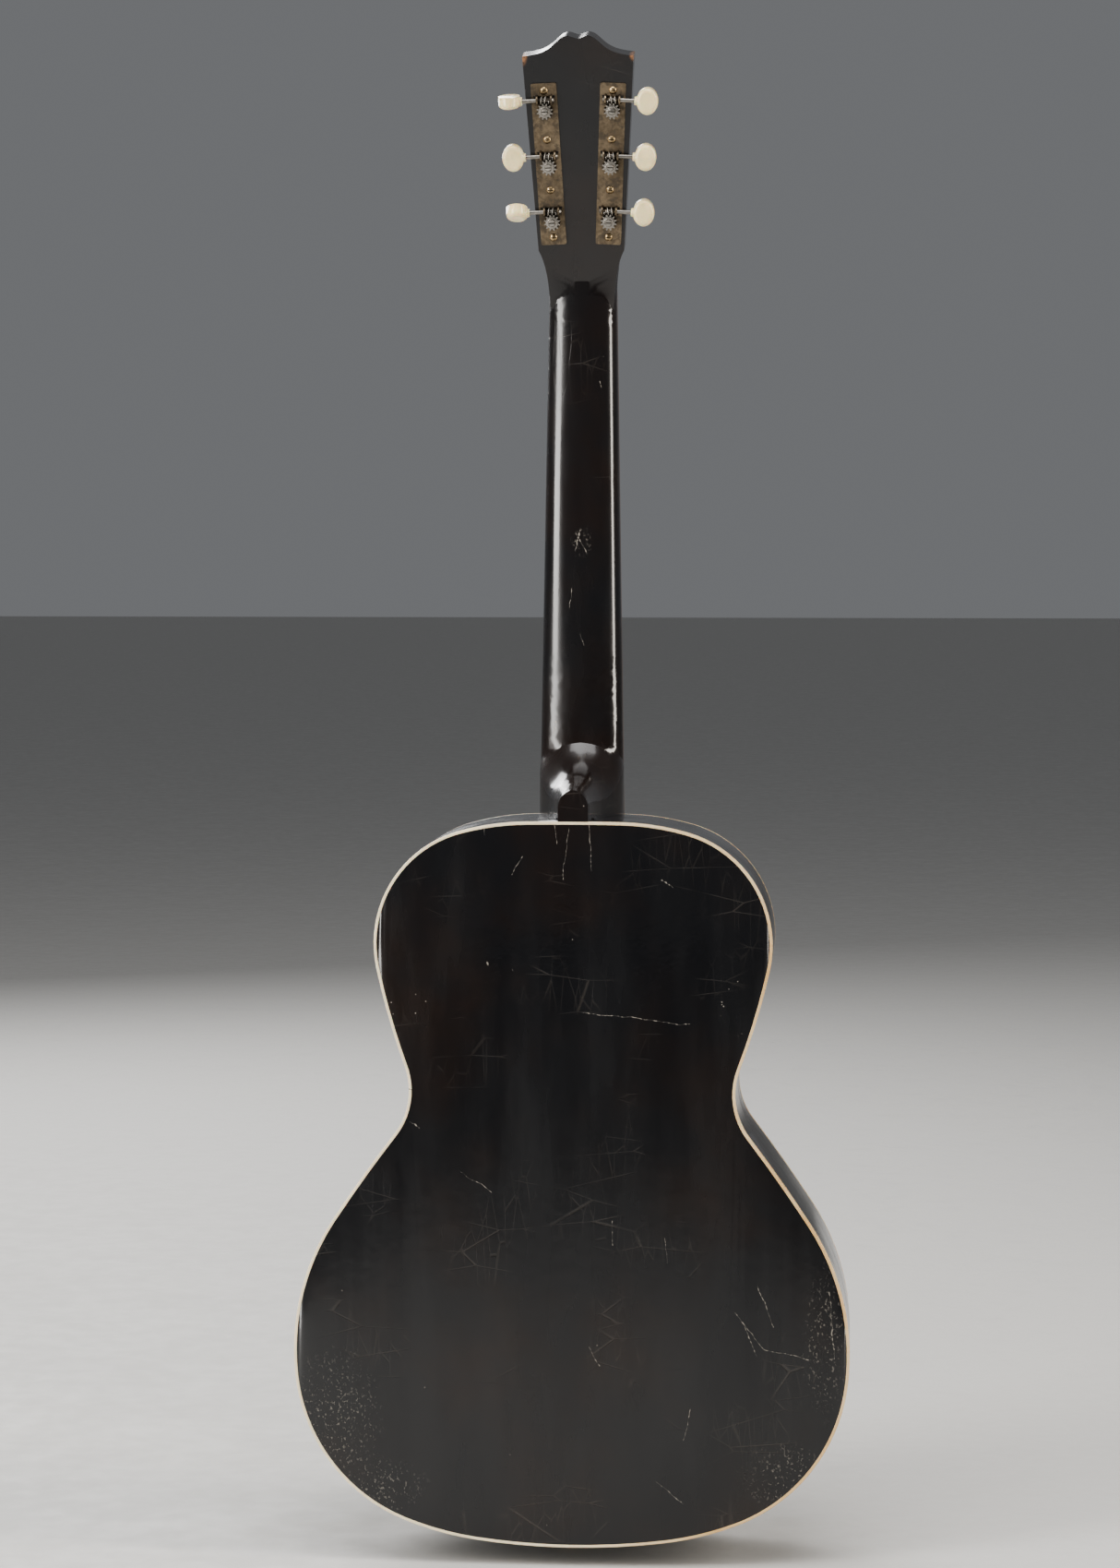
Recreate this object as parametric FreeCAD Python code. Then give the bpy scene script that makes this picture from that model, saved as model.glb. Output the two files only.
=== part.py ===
# Steel-string acoustic guitar: small 14-fret body, pinned bridge, truss rod, and two three-on-a-plate open
# tuning machines with worm drive.  Millimetres.
# Model axes: x across (treble side +), y depth (0 on the outer face of the soundboard, + towards the back),
# z up the neck (0 at the tail of the body).  Every node is shifted by ORIGIN on export, so that the origin
# of the finished part is the middle of the strap pin's head.
import FreeCAD, Part
import math, os

V = FreeCAD.Vector
os.makedirs("parts", exist_ok=True)

# ---------------------------------------------------------------- driving dimensions
SCALE = 628.65            # nut to saddle, before compensation
COMPENSATION = 2.5
BODY_L = 457.2            # tail to neck joint
NUT_Z = BODY_L + SCALE * (1 - 2 ** (-14 / 12.0))     # the 14th fret stands over the neck joint
SADDLE_Z = NUT_Z - SCALE - COMPENSATION
FRET_COUNT = 20
BOARD_END_Z = 372.0

# body half outline from the tail's centre to the neck joint: (radius, sweep in degrees), tangent arcs
OUTLINE = [(461.2, 7.38), (198.2, 13.77), (109.8, 62.27), (149.4, 39.94), (919.0, 4.18),
           (44.5, -58.03), (462.0, 8.02), (73.6, 86.82), (168.4, 14.63)]
DEPTH_TAIL, DEPTH_NECK = 105.5, 85.5                 # on the centre line
BACK_ARCH_R = 5000.0
TOP_T, BACK_T, SIDE_T = 3.0, 3.0, 2.6
BIND_W, BIND_H = 2.0, 5.0
LINING_W, LINING_H = 6.0, 14.0

HOLE_Z, HOLE_R = 322.0, 45.0
BOARD_T, BOARD_RADIUS = 6.0, 305.0
NUT_HALF, JOINT_HALF = 21.5, 27.2                    # fingerboard half widths at the nut and the neck joint
NUT_T, NUT_TOP = 5.0, 8.1

TILT = math.radians(17)                              # headstock
HEAD_BACK = 16.0                                     # depth of the headstock's back plane under the nut
HEAD_T = HEAD_BACK * math.cos(TILT) + NUT_T * math.sin(TILT)

PLATE_X, PLATE_T0, PLATE_SPLAY = 19.75, 69.7, math.radians(2.6)
PLATE_W, PLATE_L, PLATE_T = 16.3, 103.3, 1.2
GEAR_V = [-36.7, -1.2, 34.3]                         # gear centres along the plate, nearest the nut first
PLATE_SCREW_V = [-46.9, -16.4, 15.8, 46.9]
GEAR_TEETH, WORM_PITCH, CENTRES = 12, 2.5, 6.9
WORM_PHASE = 190                                     # thread standing between two teeth
GEAR_TIP, GEAR_ROOT, GEAR_LOW, GEAR_HIGH = 5.25, 3.95, 2.0, 4.8
WORM_H, WORM_TIP, WORM_CORE, WORM_LEN = 3.4, 2.75, 1.45, 7.6
SHAFT_R, POST_R, WAIST_R = 1.35, 3.0, 2.3
POST_OUT, WIND_H = 13.0, 5.4                         # post's tip and string height over the headstock's face
RUN = 0.05                                           # running clearance on a radius

PIN_R, PIN_SPACING, PIN_Z = 2.6, 10.8, SADDLE_Z - 12.6
STRING_R = [0.15, 0.20, 0.31, 0.41, 0.53, 0.67]      # string 1 (treble) to string 6 (bass)
NUT_SPACING = 7.2
BRIDGE_H, SADDLE_TOP = 8.5, 11.3

STRAP_R, STRAP_RIM = 6.0, 3.0                        # strap pin's head
ORIGIN = V(0, -52.0, 9.0)


# ---------------------------------------------------------------- helpers
def box(x0, x1, y0, y1, z0, z1):
    return Part.makeBox(x1 - x0, y1 - y0, z1 - z0, V(x0, y0, z0))


def cyl(r, a, b):
    return Part.makeCylinder(r, (b - a).Length, a, b - a)


def fuse(shapes):
    out = shapes[0]
    for s in shapes[1:]:
        out = out.fuse(s)
    return out.removeSplitter()


def mirror_x(shape):
    return shape.mirror(V(0, 0, 0), V(1, 0, 0))


def polygon(points):
    return Part.Face(Part.makePolygon(points + [points[0]]))


def bar(x, z, angle, length, width, y0, y1):
    """Straight brace centred on (x, z), its length turned by angle degrees from +z towards +x."""
    b = box(-width / 2, width / 2, y0, y1, -length / 2, length / 2)
    b.rotate(V(0, 0, 0), V(0, 1, 0), angle)
    b.translate(V(x, 0, z))
    return b


def outline_points(inset):
    """Start, middle and end point of each arc of the half outline, offset inwards."""
    x = z = heading = 0.0
    arcs = list(OUTLINE)
    turned = math.radians(sum(a for r, a in arcs))
    points = []

    def step(r, a):
        nonlocal x, z, heading
        side = 1 if a > 0 else -1
        cx, cz = x - side * r * math.sin(heading), z + side * r * math.cos(heading)
        run = []
        for part in (0, 0.5, 1):
            h = heading + a * part
            px, pz = cx + side * r * math.sin(h), cz - side * r * math.cos(h)
            run.append((px - inset * math.sin(h), pz + inset * math.cos(h)))
        x, z, heading = cx + side * r * math.sin(heading + a), cz - side * r * math.cos(heading + a), heading + a
        points.append(run)

    for r, a in arcs:
        step(r, math.radians(a))
    step(x / math.sin(heading), math.pi - turned)      # closing arc, centred on the axis
    return points


def prism(inset, y0, y1):
    """The body's outline, inset, between two depths."""
    right = [[V(px, y0, pz) for px, pz in run] for run in outline_points(inset)]
    edges = [Part.Arc(*run).toShape() for run in right]
    edges += [Part.Arc(*[V(-p.x, p.y, p.z) for p in run]).toShape() for run in right]
    return Part.Face(Part.Wire(Part.__sortEdges__(edges))).extrude(V(0, y1 - y0, 0))


FALL = math.atan2(DEPTH_TAIL - DEPTH_NECK, BODY_L)
BACK_DIR = V(0, -math.sin(FALL), math.cos(FALL))
BACK_OUT = V(0, math.cos(FALL), math.sin(FALL))


def under_back(depth):
    """Everything in front of the arched back's outer face, less depth."""
    base = V(0, DEPTH_TAIL, 0) - BACK_OUT * BACK_ARCH_R - BACK_DIR * 60
    return Part.makeCylinder(BACK_ARCH_R - depth, 620, base, BACK_DIR)


def board_half(z):
    return NUT_HALF + (JOINT_HALF - NUT_HALF) * (NUT_Z - z) / (NUT_Z - BODY_L)


def fret_z(n):
    return NUT_Z - SCALE * (1 - 2 ** (-n / 12.0))


# headstock frame: u across, v up the headstock, n out of its back
HEAD_V = V(0, math.sin(TILT), math.cos(TILT))
HEAD_N = V(0, math.cos(TILT), -math.sin(TILT))
HEAD_O = V(0, HEAD_BACK, NUT_Z)


def head(u, v, n):
    return HEAD_O + V(u, 0, 0) + HEAD_V * v + HEAD_N * n


def head_box(u0, u1, v0, v1, n0, n1):
    b = box(-u1, -u0, v0, v1, n0, n1)
    b.Placement = FreeCAD.Placement(FreeCAD.Matrix(-1, 0, 0, 0, 0, HEAD_V.y, HEAD_N.y, HEAD_O.y,
                                                   0, HEAD_V.z, HEAD_N.z, HEAD_O.z, 0, 0, 0, 1))
    return b


def place_on_plate(shape, side):
    """Moves a shape built on the plate (x outwards, y up the plate, z out of the headstock's back)."""
    s = shape.copy()
    s.rotate(V(0, 0, 0), V(0, 0, 1), -math.degrees(PLATE_SPLAY))
    if side > 0:
        s = mirror_x(s)
    at = head(side * PLATE_X, PLATE_T0, 0)
    m = FreeCAD.Matrix(-1, 0, 0, at.x, 0, HEAD_V.y, HEAD_N.y, at.y, 0, HEAD_V.z, HEAD_N.z, at.z, 0, 0, 0, 1)
    s.Placement = FreeCAD.Placement(m).multiply(s.Placement)
    return s


def save(name, shapes):
    """One STEP file per node; a node's loose solids travel together."""
    solids = [s.copy() for shape in shapes for s in shape.Solids]
    node = solids[0] if len(solids) == 1 else Part.Compound(solids)
    node.translate(ORIGIN)
    node.exportStep("parts/" + name + ".step")
    print(name, len(solids), round(sum(s.Volume for s in solids) / 1000.0, 2), node.isValid())


# ---------------------------------------------------------------- neck
TENON_D, TENON_Y = 18.0, 66.0
tenon = polygon([V(-12, 0, BODY_L + 1), V(12, 0, BODY_L + 1), V(16, 0, BODY_L - TENON_D),
                 V(-16, 0, BODY_L - TENON_D)]).extrude(V(0, TENON_Y, 0))


def neck_section(z, half, depth, swell):
    """Rounded neck profile at height z: half width on the board face, depth, and how far its sides swell."""
    side = [V(half, 0, z), V(half + 0.55 * swell, 0.22 * depth, z), V(0.9 * half + swell, 0.55 * depth, z),
            V(0.56 * half + 0.6 * swell, 0.88 * depth, z), V(0, depth, z)]
    points = side + [V(-p.x, p.y, z) for p in reversed(side[:-1])]
    curve = Part.BSplineCurve()
    curve.interpolate(points)
    return Part.Wire([curve.toShape(), Part.makeLine(points[-1], points[0])])


def heel_section(y, half, height):
    """Tombstone outline at one depth, its flat side against the body."""
    foot = BODY_L - 6
    shoulder = BODY_L + 0.45 * height
    a, b, top = V(half, y, shoulder), V(-half, y, shoulder), V(0, y, BODY_L + height)
    right, left = V(0.74 * half, y, BODY_L + 0.80 * height), V(-0.74 * half, y, BODY_L + 0.80 * height)
    return Part.Wire([Part.makeLine(V(-half, y, foot), V(half, y, foot)), Part.makeLine(V(half, y, foot), a),
                      Part.Arc(a, right, top).toShape(), Part.Arc(top, left, b).toShape(),
                      Part.makeLine(b, V(-half, y, foot))])


shaft = Part.makeLoft([neck_section(z, board_half(z), depth, swell) for z, depth, swell in
                       [(BODY_L - 2, 17.2, 0), (560, 16.2, 0), (670, 15.2, 0), (770, 14.4, 0), (790, 14.3, 0.2),
                        (800, 14.3, 1.2), (808, 17.5, 3.0), (822, 26.0, 6.0)]], True, True)
heel = Part.makeLoft([heel_section(y, half, height) for y, half, height in
                      [(0, 27.1, 62), (14, 26.0, 50), (30, 20.8, 33), (50, 14.6, 25), (70, 10.8, 22),
                       (92, 9.2, 20.6)]], True, False)

# headstock outline on its back plane (across, up): straight flared sides and a low crown with a shallow dip
HEAD_SIDE = [(20.0, -24.0), (21.6, -8.0), (23.4, 3.0), (27.4, 14.0), (35.2, 138.0)]
CROWN = [(35.2, 138.0), (30.5, 138.6), (22.0, 140.8), (15.7, 144.8), (11.5, 148.6), (6.0, 150.7), (0, 149.0)]


def head_outline(n):
    cove = Part.BSplineCurve()
    cove.interpolate([head(u, v, n) for u, v in HEAD_SIDE[:4]])
    crown = Part.BSplineCurve()
    crown.interpolate([head(u, v, n) for u, v in CROWN + [(-u, v) for u, v in reversed(CROWN[:-1])]])
    edges = [cove.toShape(), Part.makeLine(head(27.4, 14, n), head(35.2, 138, n)), crown.toShape(),
             Part.makeLine(head(-35.2, 138, n), head(-27.4, 14, n))]
    cove = Part.BSplineCurve()
    cove.interpolate([head(-u, v, n) for u, v in HEAD_SIDE[:4]])
    edges += [cove.toShape(), Part.makeLine(head(-20, -24, n), head(20, -24, n))]
    return Part.Face(Part.Wire(Part.__sortEdges__(edges)))


head_slab = head_outline(0).extrude(HEAD_N * -HEAD_T)
# the headstock starts where its face leaves the neck's board face; behind its back plane nothing is left
board_side = box(-60, 60, -60, 0, 700, NUT_Z + NUT_T)
back_cut = head_box(-60, 60, -5.8, 200, 0, 60)
front_cut = head_box(-60, 60, -60, 60, -HEAD_T - 30, -HEAD_T)
shaft = max(shaft.cut(back_cut).cut(front_cut).Solids, key=lambda part: part.Volume)
outside = prism(0, -5, 130)
neck = fuse([shaft.cut(outside), head_slab.cut(board_side), heel.cut(outside).common(under_back(0)), tenon])

# truss rod channel under the fingerboard, and the pocket for its nut in the headstock's face
ROD_Y, ROD_R, ROD_FOOT = 7.2, 2.4, BODY_L - 9
POCKET_Z = NUT_Z + NUT_T + 2.0
channel = box(-3, 3, 0, ROD_Y + 3, ROD_FOOT - 6, NUT_Z + NUT_T + 8)
pocket = box(-5, 5, -20, ROD_Y + 5, POCKET_Z, POCKET_Z + 20)
NUT_R, NUT_LEN = 4.1, 7.0                              # hex nut, across its corners
corners = [(NUT_R * math.cos(math.radians(60 * k)), NUT_R * math.sin(math.radians(60 * k))) for k in range(6)]
hex_nut = polygon([V(x, ROD_Y + y, POCKET_Z + 1.5) for x, y in corners]).extrude(V(0, 0, NUT_LEN))
rod = cyl(ROD_R, V(0, ROD_Y, ROD_FOOT), V(0, ROD_Y, POCKET_Z + 10))
anchor = box(-3, 3, ROD_Y - 3, ROD_Y + 3, ROD_FOOT - 6, ROD_FOOT)
washer = cyl(4.6, V(0, ROD_Y, POCKET_Z), V(0, ROD_Y, POCKET_Z + 1.5)).cut(rod)
truss_rod = [rod.fuse(anchor), hex_nut.cut(rod), washer]

# bell-shaped cover over the pocket, held by two screws
FACE = -HEAD_T                                         # the headstock's face in its own frame
half = [(7.5, 7.5), (11.0, 11.0), (12.0, 16.0), (9.0, 24.0), (6.0, 31.0), (5.0, 36.0)]
bell = Part.BSplineCurve()
bell.interpolate([head(u, v, FACE) for u, v in half])
mate = Part.BSplineCurve()
mate.interpolate([head(-u, v, FACE) for u, v in half])
truss_rod_cover = Part.Face(Part.Wire(Part.__sortEdges__([
    bell.toShape(), mate.toShape(), Part.makeLine(head(-7.5, 7.5, FACE), head(7.5, 7.5, FACE)),
    Part.Arc(head(5, 36, FACE), head(0, 39, FACE), head(-5, 36, FACE)).toShape()]))).extrude(HEAD_N * -1.8)
cover_screws = []
for u, v in ((0, 34.5), (8.6, 14.5), (-8.6, 14.5)):
    shank = cyl(1.0, head(u, v, FACE + 7), head(u, v, FACE - 1.8))
    cap = cyl(2.0, head(u, v, FACE - 1.8), head(u, v, FACE - 2.8))
    cap = cap.cut(head_box(u - 0.3, u + 0.3, v - 3, v + 3, FACE - 4, FACE - 2.3))
    cover_screws.append(shank.fuse(cap))
    neck = neck.cut(shank)
    truss_rod_cover = truss_rod_cover.cut(shank)
neck = neck.cut(channel).cut(pocket)

# ---------------------------------------------------------------- tuning machines, built once on the plate
def gear_profile(z, turn):
    pitch = 2 * math.pi / GEAR_TEETH
    points = []
    for k in range(GEAR_TEETH):
        for r, a in ((GEAR_ROOT, -0.31), (GEAR_TIP, -0.11), (GEAR_TIP, 0.11), (GEAR_ROOT, 0.31)):
            t = pitch * (k + 0.5 + a) + turn
            points.append(V(r * math.cos(t), r * math.sin(t), z))
    return Part.makePolygon(points + [points[0]])


def gear_at(v):
    """Worm wheel with slanted teeth, its raised hub on the plate and a square hole for the post."""
    lean = (GEAR_HIGH - GEAR_LOW) * WORM_PITCH / (2 * math.pi * (CENTRES - 4.6)) / 4.6
    teeth = Part.makeLoft([gear_profile(GEAR_LOW, -lean / 2), gear_profile(GEAR_HIGH, lean / 2)], True, True)
    hub = cyl(3.9, V(0, 0, PLATE_T + 0.1), V(0, 0, GEAR_LOW))
    ring = cyl(3.5, V(0, 0, GEAR_HIGH), V(0, 0, GEAR_HIGH + 0.35))
    g = teeth.fuse(hub).fuse(ring).removeSplitter()
    g = g.cut(box(-1.7, 1.7, -1.7, 1.7, 0, GEAR_HIGH - 0.4)).cut(cyl(1.1, V(0, 0, 0), V(0, 0, 9)))
    g.translate(V(0, v, 0))
    return g


def gear_screw_at(v):
    top = GEAR_HIGH + 0.35
    s = cyl(1.1, V(0, 0, -4), V(0, 0, top)).fuse(Part.makeCone(2.3, 1.9, 1.1, V(0, 0, top)))
    s = s.cut(box(-3, 3, -0.3, 0.3, top + 0.5, top + 3))
    s.translate(V(0, v, 0))
    return s


def post_at(v):
    """Post from its tip in front of the headstock to the square that carries the wheel."""
    face = -HEAD_T
    p = cyl(POST_R, V(0, v, face - POST_OUT), V(0, v, PLATE_T + 0.1))
    waist = cyl(POST_R + 1, V(0, v, face - WIND_H - 3.2), V(0, v, face - WIND_H + 2.4))
    waist = waist.cut(cyl(WAIST_R, V(0, v, face - WIND_H - 3.2), V(0, v, face - WIND_H + 2.4)))
    p = p.cut(waist).fuse(box(-1.7, 1.7, v - 1.7, v + 1.7, PLATE_T + 0.1, GEAR_HIGH - 0.4))
    p = p.cut(cyl(1.1, V(0, v, -4), V(0, v, 9)))
    return p.cut(cyl(0.85, V(0, v - 5, face - WIND_H), V(0, v + 5, face - WIND_H)))


def worm_at(v):
    """Shaft along x with the single-start worm between the ears; outer end pressed into the button."""
    axis = V(0, v + CENTRES, WORM_H)
    half_len = WORM_LEN / 2
    core = cyl(WORM_CORE, V(-half_len, 0, 0), V(half_len, 0, 0))
    core = core.fuse(cyl(SHAFT_R, V(-half_len - 2.4, 0, 0), V(23.5, 0, 0)))
    turns = half_len - 0.75
    helix = Part.makeHelix(WORM_PITCH, 2 * turns, WORM_CORE)
    inner, outer = WORM_CORE - 0.15, WORM_TIP
    thread = Part.Wire(Part.makePolygon([V(inner, 0, -0.55), V(outer, 0, -0.24), V(outer, 0, 0.24),
                                         V(inner, 0, 0.55), V(inner, 0, -0.55)]))
    thread = Part.Wire([helix]).makePipeShell([thread], True, True)
    thread.rotate(V(0, 0, 0), V(0, 1, 0), 90)
    thread.translate(V(-turns, 0, 0))
    w = core.fuse(thread).removeSplitter()
    w.rotate(V(0, 0, 0), V(1, 0, 0), WORM_PHASE)
    w.translate(axis)
    return w


def ears(v):
    """Two lugs folded up out of the plate, and the windows they leave."""
    y, lugs, windows = v + CENTRES, [], []
    for side in (-1, 1):
        x0 = side * (WORM_LEN / 2 + 0.15)
        x1 = side * (WORM_LEN / 2 + 1.25)
        a, b = min(x0, x1), max(x0, x1)
        lug = box(a, b, y - 2.9, y + 2.9, PLATE_T, WORM_H).fuse(cyl(2.9, V(a, y, WORM_H), V(b, y, WORM_H)))
        lugs.append(lug)
        windows.append(polygon([V(x1, y + 2.6, -1), V(x1, y - 2.6, -1), V(x1 + side * 1.9, y + 2.6, -1)])
                       .extrude(V(0, 0, 5)))
    return lugs, windows


def plate():
    p = box(-PLATE_W / 2, PLATE_W / 2, -PLATE_L / 2, PLATE_L / 2, 0, PLATE_T)
    p = p.makeFillet(1.2, [e for e in p.Edges if abs(e.BoundBox.ZLength - PLATE_T) < 1e-6])
    for v in GEAR_V:
        lugs, windows = ears(v)
        for lug, window in zip(lugs, windows):
            p = p.cut(window).fuse(lug)
        p = p.cut(cyl(SHAFT_R + RUN, V(-9, v + CENTRES, WORM_H), V(9, v + CENTRES, WORM_H)))
        p = p.cut(cyl(POST_R + RUN, V(0, v, -1), V(0, v, 3)))
        # relief under the worm
        p = p.cut(box(-WORM_LEN / 2 - 0.15, WORM_LEN / 2 + 0.15, v + CENTRES - 2.4, v + CENTRES + 2.4, 0.35, 3))
    for v in PLATE_SCREW_V:
        p = p.cut(cyl(1.3, V(0, v, -1), V(0, v, 3)))
    return p.removeSplitter()


def plate_screw_at(v):
    s = cyl(1.3, V(0, v, -9), V(0, v, PLATE_T))
    dome = Part.makeSphere(3.0, V(0, v, PLATE_T - 1.5)).common(cyl(2.6, V(0, v, PLATE_T), V(0, v, PLATE_T + 3)))
    return s.fuse(dome).cut(box(-3, 3, v - 0.3, v + 0.3, PLATE_T + 0.8, PLATE_T + 3))


# oval button: flat rounded body and a tapered collar on the shaft side; BUTTON_TURN is each one's rest angle
BUTTON_W, BUTTON_H, BUTTON_T, BUTTON_X = 13.7, 17.0, 7.5, 22.2


def button_at(v, turn):
    oval = Part.Ellipse(V(0, 0, 0), BUTTON_H / 2, BUTTON_W / 2).toShape()
    b = Part.Face(Part.Wire([oval])).extrude(V(0, 0, BUTTON_T))
    b = b.makeFillet(2.7, b.Edges[:1] + b.Edges[-1:])
    b.translate(V(0, 0, -BUTTON_T / 2))
    b.rotate(V(0, 0, 0), V(0, 0, 1), 90)
    collar = Part.makeCone(2.6, 3.3, 3.2, V(-BUTTON_W / 2 - 1.2, 0, 0), V(1, 0, 0))
    b = b.fuse(collar)
    b.translate(V(BUTTON_W / 2 + 1.2 + BUTTON_X - 8.2, 0, 0))
    b = b.cut(cyl(SHAFT_R, V(0, 0, 0), V(23.5, 0, 0)))
    b.rotate(V(0, 0, 0), V(1, 0, 0), turn)
    b.translate(V(0, v + CENTRES, WORM_H))
    return b

# ---------------------------------------------------------------- assemble the tuning machines
# tuner 1 (treble side, nearest the nut), 2, 3, then 4 (bass side, top) down to 6
TUNERS = [(1, 0), (1, 1), (1, 2), (-1, 2), (-1, 1), (-1, 0)]
BUTTON_TURN = [60, 0, 90, 0, 0, 0]                     # 0 shows the button's face to the back
plates = {side: place_on_plate(plate(), side) for side in (1, -1)}
plate_screws, bushings, posts = [], [], []
for side in (1, -1):
    for v in PLATE_SCREW_V:
        plate_screws.append(place_on_plate(plate_screw_at(v), side))
        neck = neck.cut(place_on_plate(cyl(1.3, V(0, v, -9), V(0, v, 1)), side))
for number, (side, row) in enumerate(TUNERS, 1):
    v = GEAR_V[row]
    face = -HEAD_T
    neck = neck.cut(place_on_plate(cyl(POST_R + 0.3, V(0, v, face - 1), V(0, v, 1)), side))
    neck = neck.cut(place_on_plate(cyl(4.3, V(0, v, face - 1), V(0, v, face + 6)), side))
    bushing = cyl(4.3, V(0, v, face), V(0, v, face + 6)).fuse(cyl(5.2, V(0, v, face - 1.1), V(0, v, face)))
    bushing = bushing.cut(cyl(POST_R + RUN, V(0, v, face - 2), V(0, v, face + 7)))
    bushings.append(place_on_plate(bushing, side))
    button = button_at(v, BUTTON_TURN[number - 1])
    for name, shapes in (("tuner_button", [button]), ("worm_shaft", [worm_at(v)]),
                         ("tuner_gear", [gear_at(v), gear_screw_at(v)]), ("string_post", [post_at(v)])):
        save("%s_%d" % (name, number), [place_on_plate(s, side) for s in shapes])
save("tuner_plate_treble", [plates[1]])
save("tuner_plate_bass", [plates[-1]])
save("headstock_screws", plate_screws + cover_screws)
save("post_bushings", bushings)
save("truss_rod", truss_rod)
save("truss_rod_cover", [truss_rod_cover])
save("neck", [neck])

# ---------------------------------------------------------------- fingerboard, frets, markers, nut
board_axis = V(0, BOARD_RADIUS - BOARD_T, BOARD_END_Z - 20)
crown = Part.makeCylinder(BOARD_RADIUS, 500, board_axis, V(0, 0, 1))
plan = polygon([V(-board_half(BOARD_END_Z), -20, BOARD_END_Z), V(board_half(BOARD_END_Z), -20, BOARD_END_Z),
                V(NUT_HALF, -20, NUT_Z), V(-NUT_HALF, -20, NUT_Z)]).extrude(V(0, 20, 0))
board = plan.common(crown)
markers = []
for n, xs in ((3, (0,)), (5, (0,)), (7, (0,)), (9, (0,)), (12, (-11, 11)), (15, (0,)), (17, (0,))):
    z = (fret_z(n - 1) + fret_z(n)) / 2
    for x in xs:
        dot = cyl(3.1, V(x, -20, z), V(x, -BOARD_T + 1.6, z))
        markers.append(dot.common(crown))
        board = board.cut(dot)
frets = []
for n in range(1, FRET_COUNT + 1):
    z = fret_z(n)
    top = Part.Arc(V(0, -BOARD_T, z - 1.15), V(0, -BOARD_T - 1.0, z), V(0, -BOARD_T, z + 1.15)).toShape()
    tang = [V(0, -BOARD_T, z + 1.15), V(0, -BOARD_T, z + 0.3), V(0, -BOARD_T + 1.8, z + 0.3),
            V(0, -BOARD_T + 1.8, z - 0.3), V(0, -BOARD_T, z - 0.3), V(0, -BOARD_T, z - 1.15)]
    sides = [Part.makeLine(a, b) for a, b in zip(tang, tang[1:])]
    half = math.degrees(math.asin((board_half(z) - 0.15) / BOARD_RADIUS))
    fret = Part.Face(Part.Wire([top] + sides))
    fret.rotate(board_axis, V(0, 0, 1), -half)
    fret = fret.revolve(board_axis, V(0, 0, 1), 2 * half)
    frets.append(fret)
    slot = Part.makeCylinder(BOARD_RADIUS, 0.6, V(0, board_axis.y, z - 0.3)).cut(
        Part.makeCylinder(BOARD_RADIUS - 1.8, 0.6, V(0, board_axis.y, z - 0.3)))
    board = board.cut(slot.common(box(-40, 40, -20, 0, z - 1, z + 1)))

# string paths: y of each string's centre over the nut and over the saddle
NUT_Y = -7.35


def nut_point(n):
    x = (3.5 - n) * NUT_SPACING
    return V(x, NUT_Y + x * x / (2 * BOARD_RADIUS) - STRING_R[n - 1], NUT_Z + 1.2)


def saddle_point(n):
    x = (3.5 - n) * PIN_SPACING
    return V(x, -SADDLE_TOP + x * x / (2 * BOARD_RADIUS) - STRING_R[n - 1] - 0.01, SADDLE_Z)


def wind_frame(n):
    """Centre of the post at string height, and the headstock-plane directions there."""
    side, row = TUNERS[n - 1]
    a = place_on_plate(Part.Vertex(0, GEAR_V[row], -HEAD_T - WIND_H), side).Point
    b = place_on_plate(Part.Vertex(0, GEAR_V[row] + 1, -HEAD_T - WIND_H), side).Point
    return V(*a), (V(*b) - V(*a)).normalize(), side


def rope(points, r):
    """Round rod through the points, with ball joints at the corners."""
    parts = [cyl(r, a, b) for a, b in zip(points, points[1:])]
    parts += [Part.makeSphere(1.04 * r, p) for p in points[1:-1]]
    return parts


nut = Part.Face(Part.makePolygon([V(0, 0, NUT_Z), V(0, -NUT_TOP, NUT_Z), V(0, -NUT_TOP - 0.2, NUT_Z + 1.0),
                                  V(0, -NUT_TOP + 1.1, NUT_Z + NUT_T), V(0, 0, NUT_Z + NUT_T), V(0, 0, NUT_Z)]))
nut.translate(V(-NUT_HALF, 0, 0))
nut = nut.extrude(V(2 * NUT_HALF, 0, 0))
strings = []
for n in range(1, 7):
    r = STRING_R[n - 1]
    centre, up, side = wind_frame(n)
    over_nut, over_saddle = nut_point(n), saddle_point(n)
    # the coil starts on the side of the post that faces the middle and winds towards the headstock
    coil_r = WAIST_R + r + 0.06
    across = up.cross(HEAD_N).normalize()
    ex = across if across.x * side < 0 else -across
    ez = HEAD_N
    ey = ez.cross(ex)
    hand = 1 if ey.dot(HEAD_V) > 0 else -1
    start = centre + ex * coil_r - ez * 1.9
    pitch, turns, steps = 2 * r + 0.06, (2.25 if n > 3 else 3.25), 16
    wide = coil_r / math.cos(math.pi / steps)
    coil = []
    for k in range(int(turns * steps) + 1):
        a = 2 * math.pi * (k + 0.5) / steps * hand
        round_post = ex * (wide * math.cos(a)) + ey * (wide * math.sin(a))
        coil.append(centre + round_post + ez * (pitch * k / steps - 1.9))
    bend = V(over_saddle.x, -BRIDGE_H - 1.0 - r * 0.3, PIN_Z + PIN_R - 0.15 - STRING_R[5])
    foot = V(bend.x, TOP_T + 3, bend.z)
    ball = cyl(1.9, foot + V(-1.6, 1.9, 0), foot + V(1.6, 1.9, 0))
    points = [foot, bend, over_saddle, over_nut] + coil
    ring = Part.Wire([Part.makeCircle(r, foot, bend - foot)])
    string = Part.makePolygon(points).makePipeShell([ring], True, False, 1)
    strings.append([string, ball])
    nut = nut.cut(fuse(rope([over_nut - (over_nut - over_saddle) * 0.02, over_nut,
                             over_nut + (coil[0] - over_nut) * 0.3], 1.05 * r + 0.01)))

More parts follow.
